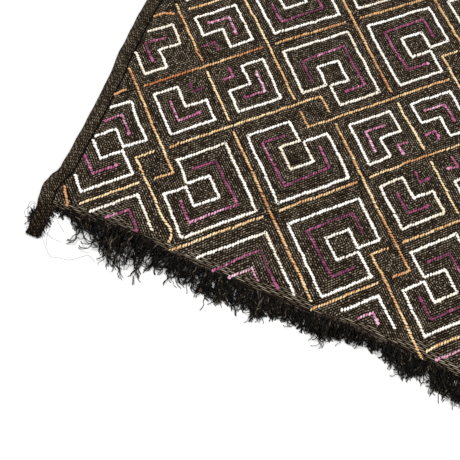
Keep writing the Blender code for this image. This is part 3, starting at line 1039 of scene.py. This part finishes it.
# %% Fibres to mesh
def bevel_triangle():
    """A three-sided profile for the fibres."""
    curve = bpy.data.curves.new("fibre_profile", "CURVE")
    spline = curve.splines.new("POLY")
    spline.points.add(2)
    spline.use_cyclic_u = True
    for index, point in enumerate(spline.points):
        angle = 2 * math.pi * index / 3
        point.co = (math.cos(angle), math.sin(angle), 0, 1)
    profile = bpy.data.objects.new("fibre_profile", curve)
    bpy.context.scene.collection.objects.link(profile)
    return profile


PROFILE = bevel_triangle()
print("fibre profile points:", len(PROFILE.data.splines[0].points))


def fibres_to_mesh(name, fibres, finish):
    """Turn lists of points and radii into one mesh of thin closed tubes, each with a tint."""
    curve = bpy.data.curves.new(name, "CURVE")
    curve.dimensions = "3D"
    curve.bevel_mode = "OBJECT"
    curve.bevel_object = PROFILE
    tints = []
    for points, radii, tint in fibres:
        spline = curve.splines.new("POLY")
        spline.points.add(len(points) - 1)
        spline.points.foreach_set("co", [value for point in points for value in (*(point + CORNER), 1)])
        spline.points.foreach_set("radius", radii)
        tints.extend(tint if isinstance(tint, list) else [tint] * len(points))
    strands = bpy.data.objects.new(name, curve)
    bpy.context.scene.collection.objects.link(strands)
    made = strands.evaluated_get(bpy.context.evaluated_depsgraph_get())
    mesh = bpy.data.meshes.new_from_object(made)
    bpy.data.objects.remove(strands)
    layer = mesh.attributes.new("tint", "FLOAT", "POINT")
    layer.data.foreach_set("value", [tint for tint in tints for _ in range(3)])
    bm = bmesh.new()
    bm.from_mesh(mesh)
    bmesh.ops.holes_fill(bm, edges=bm.edges, sides=3)
    bmesh.ops.recalc_face_normals(bm, faces=bm.faces)
    bm.to_mesh(mesh)
    bm.free()
    mesh.shade_smooth()
    mesh.materials.clear()
    mesh.materials.append(finish)
    piece = bpy.data.objects.new(name, mesh)
    bpy.context.scene.collection.objects.link(piece)
    return piece


# %% One strand and its fibres
def strand_habit(lean, bend, beat, looseness, chance):
    """How the fibres of one strand run: their lean, bend and curl, and the waves that they share."""
    return {
        "looseness": looseness,
        "lean": lean + chance.gauss(0, 6),
        "bend": bend + chance.gauss(0, 10),
        "curl": chance.gauss(0, 130),
        "waves": chance.uniform(0.14, 0.24) / MM,
        "beat": beat + chance.gauss(0, 0.8),
        "swing": chance.uniform(20, 55),
        "height": chance.triangular(0.0, 2.3, 0.4) * MM,
        "reach": chance.triangular(0.35, 1.2, 0.85),
        "shade": chance.gauss(0.3, 0.16),
        "over": chance.random() < 0.35,
    }


def fibre_in_strand(x, length, habit, chance):
    """One fibre: it starts at the cloth's edge, falls to the surface and wanders as it goes."""
    out = chance.uniform(-2.2, 1.2) if habit["over"] else chance.uniform(-2.2, -1.0)
    place = Vector((x, edge_line(x) + out * MM, 0))
    start = lift(x, 0) + (chance.uniform(1.6, 2.2) if habit["over"] else chance.uniform(0.3, 1.5)) * MM
    looseness = habit["looseness"]
    reach = (length + out * MM) * habit["reach"] * chance.uniform(0.85, 1.05)
    lean = habit["lean"] + chance.gauss(0, 3) * looseness
    curl = habit["curl"] * (1 + chance.uniform(-0.25, 0.2) * looseness)
    beat = habit["beat"] + chance.gauss(0, 0.3) * looseness
    step = reach / (FIBRE_POINTS - 1)
    points = []
    heading = None
    for index in range(FIBRE_POINTS):
        share = index / (FIBRE_POINTS - 1)
        arch = habit["height"] * math.sin(math.pi * share)
        fall = 1 - share ** 2 if habit["over"] else (1 - share) ** 2
        points.append(Vector((place.x, place.y, start * fall + FIBRE_RADIUS + arch)))
        wander = habit["swing"] * min(1, 0.3 + share * 1.4)
        wander *= math.sin(beat + 2 * math.pi * habit["waves"] * reach * share)
        wanted = lean + habit["bend"] * share + curl * share ** 3 + wander
        heading = wanted if heading is None else heading + max(-SHARPEST, min(SHARPEST, wanted - heading))
        angle = math.radians(heading)
        place += Vector((math.sin(angle), -math.cos(angle), 0)) * step
    thick = FIBRE_RADIUS * chance.uniform(0.85, 1.25)
    radii = [thick * (1 - 0.2 * index / (FIBRE_POINTS - 1)) for index in range(FIBRE_POINTS)]
    # The tint wanders along the fibre in specks, partly the fibre's own brown and partly painted glints
    shade = habit["shade"] + chance.gauss(0, 0.1)
    mottle_and_painted_glints = [noise.noise(Vector((point * 0.7, beat * 3, shade * 9))) for point in range(FIBRE_POINTS)]
    tints = [min(1.0, max(0.0, shade + patch)) for patch in mottle_and_painted_glints]
    return points, radii, tints


print("points in a fibre:", FIBRE_POINTS)

# %% Tease out the fringe
# The strands of a lock spread by this share of a lock's step
LOCK_SPREAD = 0.9


def tease_out(start, end, seed):
    """The fibres of the locks between two places along the edge."""
    chance = random.Random(seed)
    fibres = []
    x = start
    while x < end:
        length = interpolate(LENGTHS, x) * chance.uniform(0.9, 1.25)
        lean = interpolate(LEANS, x) + chance.gauss(0, 11)
        bend = chance.gauss(0, 14)
        beat = chance.uniform(0, 6)
        open_here = x < OPEN_UNTIL
        for strand in range(STRANDS_A_LOCK + 1):
            side = chance.uniform(-1, 1)
            habit = strand_habit(lean - 10 * side, bend, beat, 0.4 if open_here else 1.0, chance)
            alone = strand == STRANDS_A_LOCK
            if open_here:
                habit["reach"] = chance.uniform(*(LONG_REACH if strand < LONG_STRANDS else SHORT_REACH))
            if alone:
                habit.update(reach=chance.uniform(0.9, 1.25), curl=chance.gauss(0, 220))
            for _ in range(1 if alone else FIBRES_A_STRAND):
                root = x + side * LOCK_SPREAD * LOCK_STEP + chance.gauss(0, 0.14 if open_here else 0.22) * MM
                fibres.append(fibre_in_strand(root, length, habit, chance))
        x += LOCK_STEP * chance.choice((0.8, 1.1, 1.5) if open_here else (0.8, 1.0, 1.2))
    return fibres


FRINGE_START = 13.5 * MM
FRINGE_END = PANEL_WIDTH - 2 * MM
FRINGE_PARTS = 3
fringe = []
for part in range(FRINGE_PARTS):
    first = FRINGE_START + (FRINGE_END - FRINGE_START) * part / FRINGE_PARTS
    last = FRINGE_START + (FRINGE_END - FRINGE_START) * (part + 1) / FRINGE_PARTS
    fibres = tease_out(first, last, 12 + part)
    fringe.append(fibres_to_mesh("fringe_fibres_%d" % (part + 1), fibres, FRINGE))
print("fringe faces:", [len(piece.data.polygons) for piece in fringe])

# %% [markdown]
# ## Loose ends at the corner
# The hem's stub is cut off square and frays. Short fibres stand out of its end and its sides,
# and a few long thin threads have pulled away and lie on the surface beside the fringe. They are
# the same thin tubes as the fringe, and the stray ones follow smooth curves through a few knots.

# %% Frayed stub and stray threads
def smooth_route(knots, steps):
    """Points on a smooth curve through the knots."""
    points = []
    padded = [knots[0]] + list(knots) + [knots[-1]]
    for index in range(1, len(padded) - 2):
        p0, p1, p2, p3 = (Vector(padded[index + offset]) for offset in (-1, 0, 1, 2))
        for step in range(steps):
            t = step / steps
            points.append(0.5 * (2 * p1 + (p2 - p0) * t + (2 * p0 - 5 * p1 + 4 * p2 - p3) * t * t
                                 + (3 * p1 - p0 - 3 * p2 + p3) * t * t * t))
    points.append(Vector(padded[-2]))
    return points


def short_fibre(start, side, reach, fall, sizes, tint, bow=Vector()):
    """A fibre out of a cut end: it leaves to one side, bows a little and falls to the surface."""
    shares = (0, 0.35, 0.7, 1.0) if len(sizes) == 4 else (0, 0.3, 0.6, 0.8, 1.0)
    drop = bow - Vector((0, 0, fall))
    points = [start + side * reach * share + drop * share * share for share in shares]
    return points, [FIBRE_RADIUS * size for size in sizes], tint


def frayed_stub():
    """Short fibres out of the stub's cut end and along both of its sides."""
    chance = random.Random(21)
    fibres = []
    for _ in range(420):
        x = chance.uniform(4.6, 11.4) * MM
        y = -STUB_LENGTH + chance.uniform(1.5, 6.0) * MM
        angle = math.radians(chance.gauss(8, 26))
        reach = chance.uniform(1.2, 3.4) * MM
        z = chance.uniform(0.4, 2.4) * MM
        side = Vector((math.sin(angle), -math.cos(angle), 0))
        tint = chance.uniform(0.1, 0.7)
        fibres.append(short_fibre(Vector((x, y, z)), side, reach, 0.8 * z, (1, 0.9, 0.75, 0.5), tint))
    for _ in range(90):
        y = chance.uniform(-15, -9) * MM
        side = Vector((-math.cos(chance.gauss(0.4, 0.7)), math.sin(chance.gauss(0.7, 0.6)), 0))
        start = Vector((interpolate(SIDE_OUTLINE, y) + 0.8 * MM, y, 1.5 * MM))
        bow = Vector((side.y, -side.x, 0)) * chance.gauss(0, 1.3) * MM
        reach = chance.uniform(1.5, 4.2) * MM
        tint = chance.uniform(0.1, 0.6)
        fibres.append(short_fibre(start, side, reach, 1.2 * MM, (1, 0.9, 0.8, 0.7, 0.5), tint, bow))
    for _ in range(70):
        y = chance.uniform(-19, -1) * MM
        x = STUB_WIDTH - chance.uniform(0, 1.5) * MM
        angle = math.radians(chance.gauss(55, 22))
        reach = chance.uniform(1.5, 4.5) * MM
        side = Vector((math.sin(angle), -math.cos(angle), 0))
        tint = chance.uniform(0.1, 0.7)
        fibres.append(short_fibre(Vector((x, y, 1.4 * MM)), side, reach, 1.1 * MM, (1, 0.9, 0.7, 0.4), tint))
    return fibres


# Routes of the loose threads, in millimetres on the panel
STRAYS = (
    ((3, -14), (0, -12), (-2, -8), (-1, -4), (1, -6), (0, -10)),
    ((3, -12), (-1, -10), (-3, -6), (-2, -3), (1, -4)),
    ((2, -8), (-2, -7), (-3, -11), (-1, -13)),
    ((12.5, -19), (16, -23), (23, -29), (28, -28), (34, -27), (39, -23), (43, -20), (48, -22)),
    ((12, -13), (15, -17), (19, -19), (25, -19)),
    ((12, -8), (15, -13), (16, -19), (19, -25)),
    ((13, -4), (18, -9), (24, -13)),
)


def stray_threads():
    """Thin single fibres that lie on the surface near the corner."""
    fibres = []
    for route in STRAYS:
        points = smooth_route([(x * MM, y * MM, 0.3 * MM) for x, y in route], 4)
        fibres.append((points, [FIBRE_RADIUS * 0.32] * len(points), 0.8))
    return fibres


stub_fray = fibres_to_mesh("hem_stub_fray", frayed_stub() + stray_threads(), FRINGE)
print("fray faces:", len(stub_fray.data.polygons))

# %% [markdown]
# ## Loose weft threads
# Along the fringed edge the last weft threads have come free of the weave, and lie loosely
# side by side over the roots of the fringe. They are made as the fringe is, and hide the hard
# line where the sheet ends.

# %% Weft threads
def loose_weft():
    """Thin threads along the fringed edge, each a little off straight."""
    chance = random.Random(31)
    fibres = []
    for _ in range(130):
        start = chance.uniform(14, 500) * MM
        length = chance.uniform(14, 46) * MM
        away = chance.triangular(-2.6, 4.0, -1.4) * MM
        tilt = chance.gauss(0, 0.02)
        points = []
        for step in range(9):
            x = start + length * step / 8
            sway = 0.35 * MM * noise.noise(Vector((x / (8 * MM), away / MM, 5)))
            y = edge_line(x) + away + tilt * length * step / 8 + sway
            drop = 0.9 * MM * min(1.0, max(0.0, -away / LOOSE_EDGE))
            points.append(Vector((x, y, top_of_cloth(x, y) + 0.1 * MM - drop)))
        fibres.append((points, [FIBRE_RADIUS * 0.85] * 9, chance.uniform(0.2, 0.95)))
    return fibres


weft = fibres_to_mesh("loose_weft_threads", loose_weft(), FRINGE)
bpy.data.objects.remove(PROFILE)
print("weft faces:", len(weft.data.polygons))

# %% [markdown]
# ## Floor and light
# The photograph has a plain white ground and soft, nearly shadowless light. A large soft lamp
# stands at the upper left, and the sky fills the shadows.

# %% Floor and lamps
FLOOR_SIZE = 6.0


def make_floor():
    """A pale floor under the cloth."""
    bm = bmesh.new()
    bmesh.ops.create_grid(bm, x_segments=1, y_segments=1, size=FLOOR_SIZE / 2)
    bmesh.ops.translate(bm, verts=bm.verts, vec=(0, 0, -0.2 * MM))
    mesh = bpy.data.meshes.new("floor")
    bm.to_mesh(mesh)
    bm.free()
    finish, _, shader = new_finish("matt_white_card", 0.9)
    shader.inputs["Base Color"].default_value = linear("#f6f6f5")
    mesh.materials.append(finish)
    floor = bpy.data.objects.new("floor", mesh)
    bpy.context.scene.collection.objects.link(floor)


def make_lamp(name, place, size, power):
    """A square soft lamp that faces the cloth."""
    lamp = bpy.data.lights.new(name, "AREA")
    lamp.shape = "SQUARE"
    lamp.size = size
    lamp.energy = power
    holder = bpy.data.objects.new(name, lamp)
    holder.location = place
    holder.rotation_euler = (-Vector(place)).to_track_quat("-Z", "Y").to_euler()
    bpy.context.scene.collection.objects.link(holder)


make_floor()
make_lamp("soft_key", (-0.8, 0.6, 1.8), 1.0, 27.0)
make_lamp("soft_fill", (1.2, -0.8, 1.5), 1.0, 14.0)
world = bpy.data.worlds.new("studio")
world.use_nodes = True
world.node_tree.nodes["Background"].inputs["Color"].default_value = (1, 1, 1, 1)
world.node_tree.nodes["Background"].inputs["Strength"].default_value = 0.6
bpy.context.scene.world = world
bpy.context.scene.view_settings.view_transform = "Standard"
print("lamps set")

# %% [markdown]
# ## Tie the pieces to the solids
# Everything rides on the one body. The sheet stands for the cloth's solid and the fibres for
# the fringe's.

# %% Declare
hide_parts("cloth")
for piece in fringe:
    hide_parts("fringe")
goes_with = fringe + [stub_fray, weft] + embroidery
for piece in [panel] + goes_with:
    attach(piece, "root")

print("pieces:", len(goes_with) + 1)
